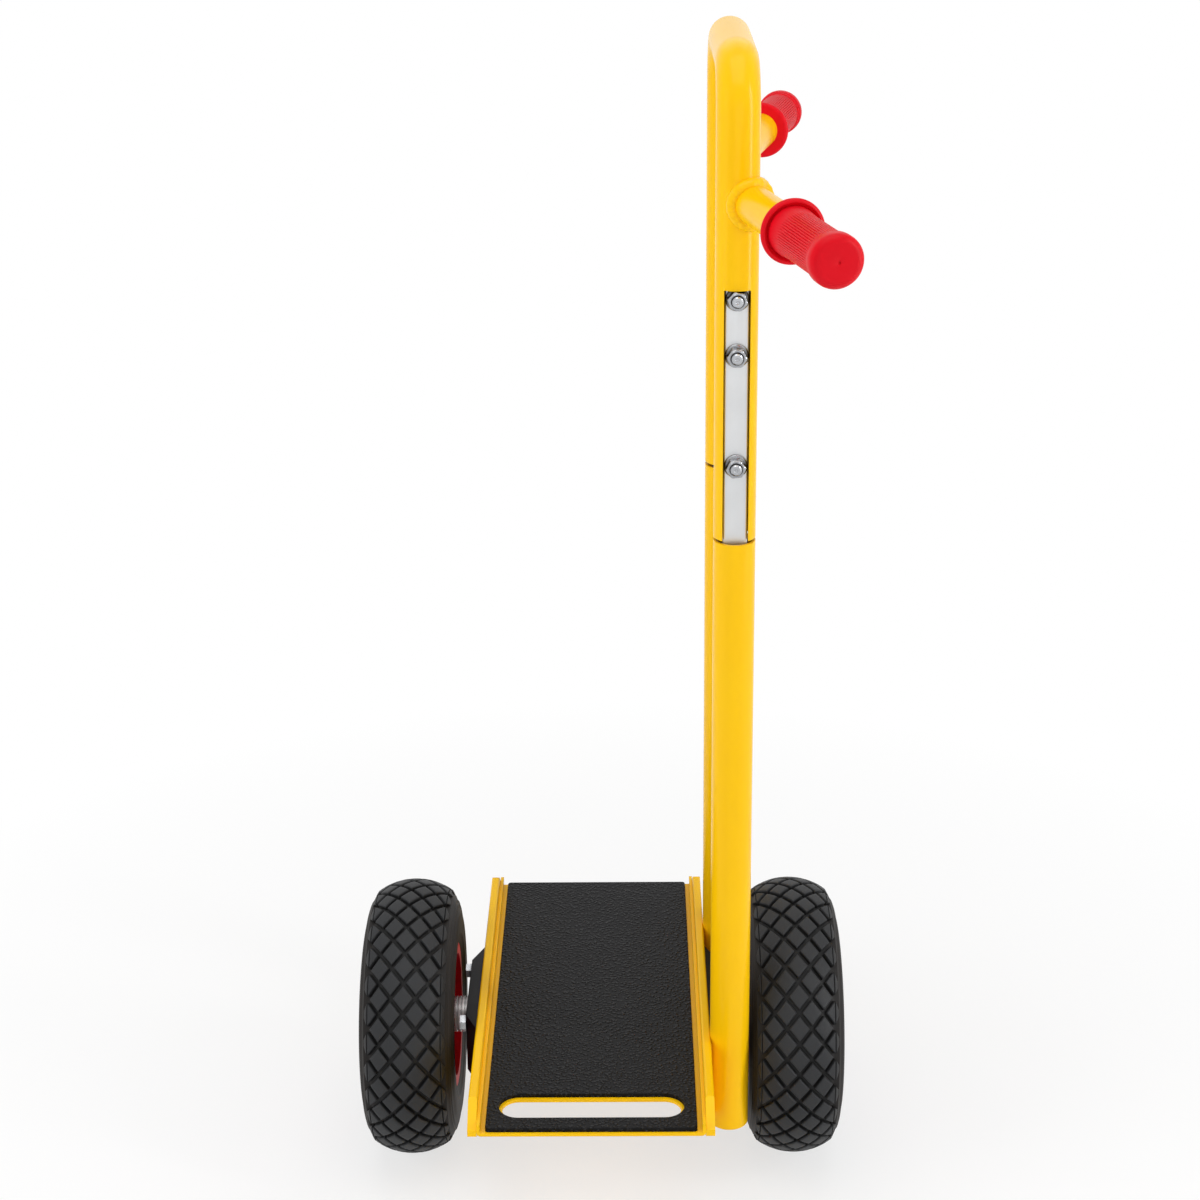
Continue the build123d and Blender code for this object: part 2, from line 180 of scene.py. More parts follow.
def coatFinish(name, coat):
    material, wire = startFinish(name)
    coords = place(wire)
    patches = noise(wire, coords, coat["patch"], coat["patchDetail"])
    peel = noise(wire, coords, coat["peel"], "low")
    rough = coat["roughness"] + swing(patches, coat["patchRough"])
    if "peelRough" in coat:
        rough = rough + swing(peel, coat["peelRough"])
    edges = softEdges(wire, coat["edge"])
    closeFinish(wire, {"Base Color": mixColour(wire, patches, coat["light"], coat["deep"]),
                       "Roughness": rough,
                       "Normal": bump(wire, peel, coat["peelHeight"], coat["peelStrength"], edges),
                       "Specular IOR Level": coat["shine"]})
    return material


# soft red vinyl of the grips
gripVinyl = {"light": (0.74, 0.004, 0.014), "deep": (0.64, 0.003, 0.010), "patch": 30.0,
             "grain": 1500.0, "grainHeight": 0.00006, "grainStrength": 0.6, "grainRough": 0.2,
             "roughness": 0.42, "shine": 0.12}


def gripFinish():
    material, wire = startFinish("redGripVinyl")
    coords = place(wire)
    patches = noise(wire, coords, gripVinyl["patch"])
    grain = noise(wire, coords, gripVinyl["grain"], "low")
    closeFinish(wire, {"Base Color": mixColour(wire, patches, gripVinyl["light"], gripVinyl["deep"]),
                       "Roughness": gripVinyl["roughness"] + swing(grain, gripVinyl["grainRough"]),
                       "Normal": bump(wire, grain, gripVinyl["grainHeight"], gripVinyl["grainStrength"]),
                       "Specular IOR Level": gripVinyl["shine"]})
    return material


# pebbled mat: rounded cells of three to four millimetres, with painted shade darkening the hollows between
# them
matRubber = {"light": (0.029, 0.029, 0.031), "deep": (0.0008, 0.0008, 0.0010),
             "cell": 290.0, "cellHeight": 0.0022, "cellStrength": 1.0, "cellSmooth": 0.55, "cellFall": 1.9,
             "warp": 160.0, "warpReach": 0.0025, "patch": 14.0, "patchRough": 0.16,
             "hollowShadeShare": 0.75, "patchShare": 0.25, "roughness": 0.42, "shine": 0.10}


def matFinish():
    material, wire = startFinish("pebbledMatRubber")
    coords = place(wire)
    drift = wire.add("ShaderNodeTexNoise", {}, {"Vector": coords, "Scale": matRubber["warp"]}, "Color")
    bent = vectorMaths(wire, "MULTIPLY_ADD", (drift, (matRubber["warpReach"],) * 3, coords))
    cells = wire.add("ShaderNodeTexVoronoi", {"feature": "SMOOTH_F1"},
                     {"Vector": bent, "Scale": matRubber["cell"],
                      "Smoothness": matRubber["cellSmooth"]}, "Distance")
    patches = noise(wire, coords, matRubber["patch"], "rich")
    # the colour falls to the near-black deep tone between the cells: painted shade in the hollows, mixed
    # with random darker patches
    pebble = (1.0 - cells * matRubber["cellFall"]).clamped()
    shade = (pebble * matRubber["hollowShadeShare"] + patches * matRubber["patchShare"]).clamped()
    closeFinish(wire, {"Base Color": mixColour(wire, shade, matRubber["deep"], matRubber["light"]),
                       "Roughness": matRubber["roughness"] + swing(patches, matRubber["patchRough"]),
                       "Normal": bump(wire, pebble, matRubber["cellHeight"], matRubber["cellStrength"]),
                       "Specular IOR Level": matRubber["shine"]})
    return material


# foam tyre: grey tread tops, grooves and the lower sides of the blocks darkened with painted shade, and a
# browner smooth sidewall
tyreRubber = {"top": (0.027, 0.028, 0.030), "groove": (0.007, 0.007, 0.007), "wall": (0.014, 0.012, 0.011),
              "treadRadius": 0.112, "treadFade": 120.0, "treadRough": 0.06, "liftGain": 1.15,
              "topShare": 0.85, "patch": 28.0, "patchShare": 0.3, "patchRough": 0.2,
              "grain": 900.0, "grainHeight": 0.00012, "grainStrength": 0.7, "roughness": 0.62, "shine": 0.22}


def tyreFinish(centre):
    material, wire = startFinish("foamTyreRubber")
    coords = place(wire)
    fromHub = vectorMaths(wire, "SUBTRACT", (coords, tuple(centre)))
    flat = vectorMaths(wire, "MULTIPLY", (fromHub, (0.0, 1.0, 1.0)))
    radius = vectorMaths(wire, "LENGTH", (flat,), "Value")
    # each point's mark: 1 on the block tops, falling toward 0 down their sides and in the grooves, where
    # painted shade is laid
    lift = wire.add("ShaderNodeAttribute", {"attribute_name": "lift"}, {}, "Fac")
    grain = noise(wire, coords, tyreRubber["grain"])
    patches = noise(wire, coords, tyreRubber["patch"], "rich")
    onTread = ((radius - tyreRubber["treadRadius"]) * tyreRubber["treadFade"]).clamped()
    high = (lift * tyreRubber["liftGain"]).clamped()
    topOutOfShade = (high * tyreRubber["topShare"] + swing(patches, tyreRubber["patchShare"])).clamped()
    # tread tops keep their grey; the grooves and block feet take the dark painted shade
    treadWithGrooveShade = mixColour(wire, topOutOfShade, tyreRubber["groove"], tyreRubber["top"])
    rough = tyreRubber["roughness"] + swing(patches, tyreRubber["patchRough"])
    closeFinish(wire, {"Base Color": mixColour(wire, onTread, tyreRubber["wall"], treadWithGrooveShade),
                       "Roughness": rough - onTread * tyreRubber["treadRough"],
                       "Normal": bump(wire, grain, tyreRubber["grainHeight"], tyreRubber["grainStrength"]),
                       "Specular IOR Level": tyreRubber["shine"]})
    return material


# bare and plated metal: fine lines along or around the piece, a little stain, and painted shade darkening
# the creases
metalGrain = {"lineHeight": 0.00004, "lineStrength": 0.4, "lineRough": 0.22,
              "patch": 35.0, "patchRough": 0.1, "creaseShadeColour": (0.02, 0.02, 0.022),
              "creaseShadeReach": 0.005, "creaseShadeKeep": 0.45, "creaseShadeSamples": 8}
# each metal's crease amount sets how strongly painted shade darkens its creases and hollows
metals = {
    "bar_steel": {"name": "brightBarSteel", "light": (0.68, 0.69, 0.70), "deep": (0.58, 0.59, 0.60),
                  "roughness": 0.42, "lines": (900.0, 900.0, 12.0), "edge": 0.0006, "creaseShade": 0.15},
    "bare_steel": {"name": "turnedSteel", "light": (0.56, 0.55, 0.54), "deep": (0.42, 0.41, 0.41),
                   "roughness": 0.30, "lines": (1400.0, 30.0, 30.0), "edge": 0.0004, "creaseShade": 0.5},
    "zinc_steel": {"name": "zincFasteners", "light": (0.50, 0.51, 0.53), "deep": (0.36, 0.37, 0.39),
                   "roughness": 0.24, "lines": (300.0, 300.0, 300.0), "edge": 0.0004, "creaseShade": 1.0},
}


def metalFinish(metal):
    material, wire = startFinish(metal["name"])
    coords = place(wire)
    stretched = wire.add("ShaderNodeMapping", {}, {"Vector": coords, "Scale": metal["lines"]})
    brushed = noise(wire, stretched, 1.0, "rich")
    patches = noise(wire, coords, metalGrain["patch"], "rich")
    # ambient occlusion darkens the base colour in creases and hollows: painted shade
    bare = wire.add("ShaderNodeAmbientOcclusion", {"samples": metalGrain["creaseShadeSamples"]},
                    {"Distance": metalGrain["creaseShadeReach"]}, "AO")
    shown = 1.0 - metal["creaseShade"] * ((1.0 - bare) / (1.0 - metalGrain["creaseShadeKeep"])).clamped()
    plain = mixColour(wire, patches, metal["light"], metal["deep"])
    rough = metal["roughness"] + swing(brushed, metalGrain["lineRough"])
    edges = softEdges(wire, metal["edge"])
    normal = bump(wire, brushed, metalGrain["lineHeight"], metalGrain["lineStrength"], edges)
    closeFinish(wire, {"Base Color": mixColour(wire, shown, metalGrain["creaseShadeColour"], plain),
                       "Metallic": 1.0,
                       "Roughness": rough + swing(patches, metalGrain["patchRough"]),
                       "Normal": normal})
    return material


slotFinish = {"yellow_paint": coatFinish("yellowPowderCoat", yellowCoat),
              "red_paint": coatFinish("redRimPaint", redCoat),
              "red_grip": gripFinish(),
              "mat_rubber": matFinish(),
              "black_paint": coatFinish("blackBlockPaint", blackCoat)}
for slotName, metal in metals.items():
    slotFinish[slotName] = metalFinish(metal)
for part in frame["record"]["subparts"]:
    mesh = nodes[part["node"]].data
    mesh.materials.clear()
    mesh.materials.append(slotFinish.get(part["material_slot"], slotFinish["black_paint"]))
print("finishes made,", len(bpy.data.materials))


# meshes are gathered as points and faces, then turned into one piece
class Shape:
    def __init__(self):
        self.points = []
        self.faces = []
        self.lift = []

    def point(self, where, lift=0.0):
        self.points.append(tuple(where))
        self.lift.append(lift)
        return len(self.points) - 1

    def ring(self, places, lift=0.0):
        return [self.point(where, lift) for where in places]

    def bridge(self, first, second):
        count = len(first)
        for i in range(count):
            j = (i + 1) % count
            self.faces.append((first[i], first[j], second[j], second[i]))

    def cap(self, ring, flip=False):
        self.faces.append(tuple(reversed(ring)) if flip else tuple(ring))

    def fan(self, ring, tip):
        for i in range(len(ring)):
            self.faces.append((ring[i], ring[(i + 1) % len(ring)], tip))

    def loop(self, rings):
        for first, second in zip(rings, rings[1:] + rings[:1]):
            self.bridge(first, second)

    def sleeve(self, rings):
        # rings joined one after another and closed at both ends
        for first, second in zip(rings, rings[1:]):
            self.bridge(first, second)
        self.cap(rings[0], True)
        self.cap(rings[-1])


def makePiece(name, shape, finish, body, stands, sharp):
    mesh = bpy.data.meshes.new(name)
    mesh.from_pydata(shape.points, [], shape.faces)
    mesh.validate()
    # each point's mark goes on the mesh, where the tyre's finish reads it to lay painted shade in the
    # grooves
    marks = mesh.attributes.new("lift", "FLOAT", "POINT")
    marks.data.foreach_set("value", shape.lift)
    mesh.shade_smooth()
    mesh.set_sharp_from_angle(angle=math.radians(sharp))
    mesh.materials.append(finish)
    piece = bpy.data.objects.new(name, mesh)
    bpy.context.scene.collection.objects.link(piece)
    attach(piece, body)
    if stands:
        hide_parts(*stands)


def turnsOf(count):
    return [2 * math.pi * i / count for i in range(count)]


def spoke(first, second, turn):
    return first * math.cos(turn) + second * math.sin(turn)


def circleThrough(a, b, c):
    ax, ay = b[0] - a[0], b[1] - a[1]
    bx, by = c[0] - a[0], c[1] - a[1]
    d = 2 * (ax * by - ay * bx)
    ux = (by * (ax * ax + ay * ay) - ay * (bx * bx + by * by)) / d
    uy = (ax * (bx * bx + by * by) - bx * (ax * ax + ay * ay)) / d
    return (a[0] + ux, a[1] + uy), math.hypot(ux, uy)


# tyres: a carcass with ridged walls, and lozenge blocks standing on its crown and shoulders
tyreShape = {"shoulder": (0.035, 0.011), "bulge": (0.0435, 0.0935), "lip": (0.041, 0.068),
             "seat": (0.038, 0.0605), "segments": 224, "steps": 46, "sharp": 30.0,
             "around": 28, "across": 0.024, "rows": 2, "groove": 0.0040, "depth": 0.0042, "seam": 0.0006,
             "treadEnd": 0.0425, "sinkPast": 0.0005, "sinkLength": 0.003,
             "ridges": (0.049, 0.053, 0.060, 0.063, 0.066, 0.080),
             "ridgeHeight": 0.0008, "ridgeWidth": 0.0011}
# one block of the tread, from its spread foot in the carcass to its rounded brink and flat top; its marks
# set how much painted shade each level takes, most at the foot and none on the top
blockShape = {"sideSteps": 5, "foot": 1.06, "footSunk": 0.0006, "flare": 1.03, "flareRise": 0.0004,
              "flareShadeMark": 0.1, "brinkDrop": 0.0009, "brinkShadeMark": 0.75, "edge": 0.0010, "edgeDrop": 0.0002,
              "topStart": 2.4, "topMiddle": 0.55}


class TyreSkin:
    # the outline of half a tyre, followed by its length from the middle of the crown
    def __init__(self, radius):
        across, drop = tyreShape["shoulder"]
        side = (across, radius - drop)
        self.crownRadius = (across ** 2 + drop ** 2) / (2 * drop)
        self.crownCentre = (0.0, radius - self.crownRadius)
        self.crownLength = self.crownRadius * math.asin(across / self.crownRadius)
        lip = tyreShape["lip"]
        self.wallCentre, self.wallRadius = circleThrough(side, tyreShape["bulge"], lip)
        self.wallStart = math.atan2(side[1] - self.wallCentre[1], side[0] - self.wallCentre[0])
        wallEnd = math.atan2(lip[1] - self.wallCentre[1], lip[0] - self.wallCentre[0])
        self.length = self.crownLength + self.wallRadius * (self.wallStart - wallEnd)

    def at(self, s, lift):
        length = abs(s)
        if length < self.crownLength:
            angle = math.pi / 2 - length / self.crownRadius
            centre, radius = self.crownCentre, self.crownRadius
        else:
            angle = self.wallStart - (length - self.crownLength) / self.wallRadius
            centre, radius = self.wallCentre, self.wallRadius
        x = centre[0] + (radius + lift) * math.cos(angle)
        r = centre[1] + (radius + lift) * math.sin(angle)
        return math.copysign(x, s), r


def aboutAxle(middle, x, r, turn):
    return middle + Vector((x, r * math.cos(turn), r * math.sin(turn)))


def addCarcass(shape, skin, middle):
    steps = tyreShape["steps"]
    sinkEnd = tyreShape["treadEnd"] + tyreShape["sinkPast"]
    half = []
    for i in range(steps + 1):
        s = skin.length * i / steps
        sunk = min(max((sinkEnd - s) / tyreShape["sinkLength"], 0.0), 1.0)
        ridge = sum(math.exp(-((s - k) / tyreShape["ridgeWidth"]) ** 2) for k in tyreShape["ridges"])
        half.append(skin.at(s, tyreShape["ridgeHeight"] * ridge - tyreShape["depth"] * sunk))
    seat = tyreShape["seat"]
    half += [(seat[0], tyreShape["lip"][1]), seat]
    profile = [(-x, r) for x, r in reversed(half[1:])] + half
    turns = turnsOf(tyreShape["segments"])
    shape.loop([shape.ring([aboutAxle(middle, x, r, turn) for turn in turns]) for x, r in profile])


def addBlock(shape, skin, middle, outline, radius):
    # outline: corners as (length around, length across)
    cu = sum(p[0] for p in outline) / len(outline)
    cs = sum(p[1] for p in outline) / len(outline)
    steps = blockShape["sideSteps"]
    fine = []
    for (u0, s0), (u1, s1) in zip(outline, outline[1:] + outline[:1]):
        for k in range(steps):
            fine.append((u0 + (u1 - u0) * k / steps, s0 + (s1 - s0) * k / steps))
    reach = max(math.hypot(p[0] - cu, p[1] - cs) for p in outline)
    edge = blockShape["edge"] / reach
    depth = tyreShape["depth"]
    # each level: size, height against the tyre's skin, mark for the finish's painted shade (0 darkest)
    levels = [(blockShape["foot"], -depth - blockShape["footSunk"], 0.0),
              (blockShape["flare"], -depth + blockShape["flareRise"], blockShape["flareShadeMark"]),
              (1.0, -blockShape["brinkDrop"], blockShape["brinkShadeMark"]),
              (1.0 - edge, -blockShape["edgeDrop"], 1.0),
              (1.0 - blockShape["topStart"] * edge, 0.0, 1.0),
              (blockShape["topMiddle"], 0.0, 1.0)]

    def where(u, s, lift):
        x, r = skin.at(s, lift)
        return aboutAxle(middle, x, r, u / radius)

    last = None
    for scale, lift, mark in levels:
        spots = [where(cu + (u - cu) * scale, cs + (s - cs) * scale, lift) for u, s in fine]
        ring = shape.ring(spots, mark)
        if last is None:
            shape.cap(ring, True)
        else:
            shape.bridge(last, ring)
        last = ring
    shape.fan(last, shape.point(where(cu, cs, 0.0), 1.0))


def lozengeOutlines(u, row, pitchAround):
    # a lozenge drawn in by half a groove on each side; the outermost row is parted by a moulded seam
    across = tyreShape["across"]
    spacing = 1 / math.hypot(1 / pitchAround, 1 / across)
    keep = 1 - tyreShape["groove"] / spacing
    du = pitchAround / 2 * keep
    ds = across / 2 * keep
    s = row * across / 2
    if abs(row) <= tyreShape["rows"]:
        return [[(u + du, s), (u, s + ds), (u - du, s), (u, s - ds)]]
    way = math.copysign(1.0, s)
    seam = way * tyreShape["seam"] / 2
    end = way * tyreShape["treadEnd"]
    left = du * (1 - abs(end - s) / ds)
    inner = [(u + du, s - seam), (u - du, s - seam), (u, s - way * ds)]
    outer = [(u + du, s + seam), (u + left, end), (u - left, end), (u - du, s + seam)]
    return [inner, outer] if way > 0 else [list(reversed(inner)), list(reversed(outer))]


def makeTyre(side):
    low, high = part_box(side + "_tyre")
    middle = (low + high) / 2
    radius = (high.z - low.z) / 2
    skin = TyreSkin(radius)
    shape = Shape()
    addCarcass(shape, skin, middle)
    pitch = 2 * math.pi * radius / tyreShape["around"]
    for row in range(-tyreShape["rows"] - 1, tyreShape["rows"] + 2):
        for i in range(tyreShape["around"]):
            for outline in lozengeOutlines((i + 0.5 * (row % 2)) * pitch, row, pitch):
                addBlock(shape, skin, middle, outline, radius)
    makePiece(side + "TreadedTyre", shape, tyreFinish(middle), side + "_wheel",
              (side + "_tyre",), tyreShape["sharp"])


for side in ("left", "right"):
    makeTyre(side)
print("tyres made")


# grips: ribbed vinyl sleeves with a dished flange, a waist and a round end knob
gripShape = {"yaw": math.radians(14.5), "sideShift": 0.008, "start": 0.112, "length": 0.108, "sharp": 50.0,
             "bore": 0.016, "boreDepth": 0.094,
             "flange": 0.026, "flangeLength": 0.0056, "flangeInset": 0.0035, "flangeSteps": 8,
             "dish": 0.0026, "collar": 0.0200, "waist": 0.0190,
             "ribs": 60, "ribPoints": 4, "ribDepth": 0.0008, "ribPower": 0.7, "ribStart": 0.022,
             "ribEnd": 0.089, "ribFade": 0.002, "ribSteps": 6,
             "knob": 0.021, "knobStart": 0.0925, "endRadius": 0.007, "endSteps": 6}
# turns of the grip's outline, as steps along and outward from a place and radius above
gripTurns = {"dish": ((0.0006, 0.0012), (0.0, 0.0003), (0.0005, 0.0)),
             "collar": ((0.004, 0.0), (0.0065, -0.0003)),
             "neck": ((0.011, 0.0002),),
             "lip": ((-0.002, 0.0), (-0.0016, 0.0008), (-0.0004, 0.0009), (0.0, 0.0004)),
             "knob": ((0.0012, -0.0006), (0.0024, 0.0)),
             "dimple": ((-0.0002, 0.0072), (-0.0003, 0.0020), (-0.0005, 0.0013), (-0.0012, 0.0011))}


def legAxis(end):
    # middle of a leg's tube as x and y, and its radius
    low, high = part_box(end + "_leg")
    return (low.x + high.x) / 2, (low.y + high.y) / 2, (high.y - low.y) / 2


def gripPlace(end):
    x, y, _ = legAxis(end)
    low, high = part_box(end + "_grip")
    way = 1.0 if end == "far" else -1.0
    outward = Vector((math.sin(gripShape["yaw"]), way * math.cos(gripShape["yaw"]), 0.0))
    origin = Vector((x + gripShape["sideShift"], y, (low.z + high.z) / 2))
    return origin, outward, upward.cross(outward)


def gripProfile():
    # (place along the grip, radius, how much of the ribs shows there)
    def turned(name, along, radius):
        return [(along + step, radius + grow, 0) for step, grow in gripTurns[name]]

    bore, flange, half = gripShape["bore"], gripShape["flange"], gripShape["flangeLength"] / 2
    points = [(gripShape["boreDepth"], bore, 0), (0.0, bore, 0), (0.0, flange - gripShape["flangeInset"], 0)]
    steps = gripShape["flangeSteps"]
    for k in range(1, steps + 1):
        angle = math.pi * k / steps
        points.append((half - half * math.cos(angle), flange - half + half * math.sin(angle), 0))
    collar, waist = gripShape["collar"], gripShape["waist"]
    points += turned("dish", gripShape["dish"], collar)
    points += turned("collar", gripShape["flangeLength"], collar)
    points += turned("neck", gripShape["flangeLength"], waist)
    start, end, fade = gripShape["ribStart"], gripShape["ribEnd"], gripShape["ribFade"]
    steps = gripShape["ribSteps"]
    points += [(start, waist, 0), (start + fade, waist, 1)]
    for k in range(1, steps):
        points.append((start + fade + (end - start - 2 * fade) * k / steps, waist, 1))
    points += [(end - fade, waist, 1), (end, waist, 0)]
    knob, length, corner = gripShape["knob"], gripShape["length"], gripShape["endRadius"]
    points += turned("lip", gripShape["knobStart"], waist)
    points += turned("knob", gripShape["knobStart"], knob)
    points.append((length - corner, knob, 0))
    steps = gripShape["endSteps"]
    for k in range(1, steps + 1):
        angle = math.pi / 2 * k / steps
        points.append((length - corner + corner * math.sin(angle),
                       knob - corner + corner * math.cos(angle), 0))
    return points + turned("dimple", length, 0.0)


def makeGrip(end):
    origin, outward, sideways = gripPlace(end)
    shape = Shape()
    rings = []
    for along, radius, ribbed in gripProfile():
        centre = origin + outward * (gripShape["start"] + along)
        spots = []
        for turn in turnsOf(gripShape["ribs"] * gripShape["ribPoints"]):
            groove = max(0.0, math.cos(gripShape["ribs"] * turn)) ** gripShape["ribPower"]
            spots.append(centre + spoke(upward, sideways, turn)
                         * (radius - ribbed * gripShape["ribDepth"] * groove))
        rings.append(shape.ring(spots))
    shape.sleeve(rings)
    makePiece(end + "RibbedGrip", shape, slotFinish["red_grip"], "sliding_bow",
              (end + "_grip",), gripShape["sharp"])


for end in ("near", "far"):
    makeGrip(end)
print("grips made")


# welds: a rippled bead laid along a path
weldShape = {"stub": 0.0058, "stubPoints": 120, "stubClear": 0.0005, "stubLeast": 0.002,
             "leg": 0.0034, "legSpread": 0.235, "legOut": 0.0009, "legInset": 0.004,
             "ripple": 0.035, "pitch": 0.0045, "sides": 14, "step": 0.0009,
             "tip": 0.35, "tipSteps": 6, "sharp": 60.0}


def addBead(shape, path, closed, radius):
    # path: evenly spaced points; the bead swells and sinks along it, and an open one tapers at its ends
    count = len(path)
    rings = []
    for i in range(count):
        ahead = path[(i + 1) % count] if closed else path[min(i + 1, count - 1)]
        behind = path[i - 1] if closed else path[max(i - 1, 0)]
        along = (ahead - behind).normalized()
        if i == 0:
            first = along.orthogonal().normalized()
        else:
            first = (first - along * first.dot(along)).normalized()
        second = along.cross(first)
        swell = 1 + weldShape["ripple"] * math.sin(2 * math.pi * i * weldShape["step"] / weldShape["pitch"])
        if not closed:
            swell *= min(1.0, weldShape["tip"] + min(i, count - 1 - i) / weldShape["tipSteps"])
        rings.append(shape.ring([path[i] + spoke(first, second, turn) * radius * swell
                                 for turn in turnsOf(weldShape["sides"])]))
    if closed:
        shape.loop(rings)
    else:
        shape.sleeve(rings)


def spaced(points, closed):
    # points along a polyline, one weld step apart
    line = points + [points[0]] if closed else points
    lengths = [0.0]
    for a, b in zip(line, line[1:]):
        lengths.append(lengths[-1] + (b - a).length)
    count = int(lengths[-1] / weldShape["step"])
    result = []
    k = 0
    for i in range(count):
        want = lengths[-1] * i / count
        while lengths[k + 1] < want:
            k += 1
        share = (want - lengths[k]) / (lengths[k + 1] - lengths[k])
        result.append(line[k].lerp(line[k + 1], share))
    return result


def stubSeam(end):
    # where the grip's stub meets the round of the bow
    origin, outward, sideways = gripPlace(end)
    axisX, axisY, tube = legAxis(end)
    stub = gripShape["bore"] + weldShape["stubClear"]
    seam = []
    for turn in turnsOf(weldShape["stubPoints"]):
        start = origin + spoke(upward, sideways, turn) * stub
        px, py = start.x - axisX, start.y - axisY
        b = px * outward.x + py * outward.y
        c = px * px + py * py - tube * tube
        root = b * b - c
        reach = -b + math.sqrt(root) if root > 0 else -b
        seam.append(start + outward * max(reach, weldShape["stubLeast"]))
    return seam


def legSeams(end):
    # up both sides of the line where the leg meets the side plate
    _, middle, tube = legAxis(end)
    low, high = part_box("right_side_plate")
    x = high.x + weldShape["legOut"]
    seams = []
    for way in (-1, 1):
        y = middle + way * tube * weldShape["legSpread"]
        seams.append([Vector((x, y, low.z + weldShape["legInset"])),
                      Vector((x, y, high.z - weldShape["legInset"]))])
    return seams


def makeWelds(end):
    yellow = slotFinish["yellow_paint"]
    bead = Shape()
    addBead(bead, spaced(stubSeam(end), True), True, weldShape["stub"])
    makePiece(end + "StubWeld", bead, yellow, "sliding_bow", (), weldShape["sharp"])
    beads = Shape()
    for seam in legSeams(end):
        addBead(beads, spaced(seam, False), False, weldShape["leg"])
    makePiece(end + "LegWelds", beads, yellow, "chassis", (), weldShape["sharp"])


for end in ("near", "far"):
    makeWelds(end)
print("welds made")


# bar fasteners: flange nuts on threaded bolt ends, and low round heads on the inner sides of the bow
fastenerSet = {"top": 0.873, "pitch": 0.048, "steps": (0, 1, 3), "firstTwist": 0.35, "nextTwist": 0.9,
               "segments": 72, "sharp": 30.0}
# rows of the nut: brim as (share of the flange's height, cut from its radius), chamfer and mouth as
# (drop from the top, share of half the flats or of the bolt)
nutShape = {"flat": 0.0148, "height": 0.0080, "flange": 0.0100, "flangeHeight": 0.0021,
            "footCut": 0.0004, "footRise": 0.0003, "brim": ((0.55, 0.0), (0.8, 0.0006)),
            "neckRise": 0.0006, "neck": 0.9, "hexFoot": 0.7, "corner": 1.2,
            "chamfer": ((0.0011, 1.2), (0.0005, 1.09), (0.0, 0.97)), "mouth": ((0.0, 1.12), (0.0006, 0.95))}
# rows of the bolt: head as (share of its height, share of its radius), end as (drop, share of the radius)
boltShape = {"radius": 0.0050, "headRadius": 0.0075, "headHeight": 0.0040,
             "head": ((1.0, 0.12), (0.97, 0.40), (0.80, 0.70), (0.45, 0.93), (0.2, 1.0), (0.0, 1.0)),
             "thread": 0.0015, "threadDepth": 0.00055, "threadLength": 0.014, "plainEnd": 0.0012,
             "lastDrop": 0.0008, "lastDepth": 0.6, "endCut": 0.0012, "end": ((0.0, 0.35), (0.0003, 0.25))}


def boltHeights():
    return [fastenerSet["top"] - fastenerSet["pitch"] * step for step in fastenerSet["steps"]]


def addTurned(shape, base, axis, profile, radiusAt=None):
    # axis lies level
    second = axis.cross(upward)
    rings = []
    for along, radius in profile:
        spots = []
        for turn in turnsOf(fastenerSet["segments"]):
            r = radiusAt(radius, turn) if radiusAt else radius
            spots.append(base + axis * along + spoke(upward, second, turn) * r)
        rings.append(shape.ring(spots))
    shape.sleeve(rings)


def hexRadius(limit, turn):
    face = math.pi / 3
    off = (turn + face / 2) % face - face / 2
    return min(limit, nutShape["flat"] / 2 / math.cos(off))


def addNut(shape, base, axis, twist):
    flange, low = nutShape["flange"], nutShape["flangeHeight"]
    flat, bolt = nutShape["flat"] / 2, boltShape["radius"]
    top = low + nutShape["height"]
    brim = [(0.0, flange - nutShape["footCut"]), (nutShape["footRise"], flange)]
    brim += [(low * share, flange - cut) for share, cut in nutShape["brim"]]
    brim.append((low + nutShape["neckRise"], flat * nutShape["neck"]))
    addTurned(shape, base, axis, brim)
    body = [(low * nutShape["hexFoot"], flat * nutShape["corner"])]
    body += [(top - drop, flat * share) for drop, share in nutShape["chamfer"]]
    body += [(top - drop, bolt * share) for drop, share in nutShape["mouth"]]
    addTurned(shape, base, axis, body, lambda limit, turn: hexRadius(limit, turn + twist))


def addBolt(shape, base, axis, reach):
    r, pitch, depth = boltShape["radius"], boltShape["thread"], boltShape["threadDepth"]
    head, tall = boltShape["headRadius"], boltShape["headHeight"]
    profile = [(-tall * high, head * wide) for high, wide in boltShape["head"]]
    start = reach - boltShape["threadLength"]
    profile += [(0.0, r), (start, r)]
    for k in range(int((reach - boltShape["plainEnd"] - start) / pitch)):
        profile += [(start + pitch * (k + 0.5), r - depth), (start + pitch * (k + 1), r)]
    profile += [(reach - boltShape["lastDrop"], r - depth * boltShape["lastDepth"]),
                (reach, r - boltShape["endCut"])]
    profile += [(reach - drop, r * share) for drop, share in boltShape["end"]]
    addTurned(shape, base, axis, profile)


def makeBarFasteners():
    nuts, bolts = Shape(), Shape()
    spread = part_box("bar_bolts")
    twist = fastenerSet["firstTwist"]
    for end, way in (("near", -1.0), ("far", 1.0)):
        low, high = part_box(end + "_slide_bar")
        x, y = (low.x + high.x) / 2, (low.y + high.y) / 2
        bar = (high.y - low.y) / 2
        seat = y - way * legAxis(end)[2]
        tip = spread[1].y if way > 0 else spread[0].y
        axis = Vector((0.0, way, 0.0))
        for z in boltHeights():
            twist += fastenerSet["nextTwist"]
            addNut(nuts, Vector((x, y + way * bar, z)), axis, twist)
            addBolt(bolts, Vector((x, seat, z)), axis, abs(tip - seat))
    zinc = slotFinish["zinc_steel"]
    makePiece("barFlangeNuts", nuts, zinc, "sliding_bow", ("bar_nuts", "bar_washers"),
              fastenerSet["sharp"])
    makePiece("barBoltSet", bolts, zinc, "sliding_bow", ("bar_bolts",), fastenerSet["sharp"])


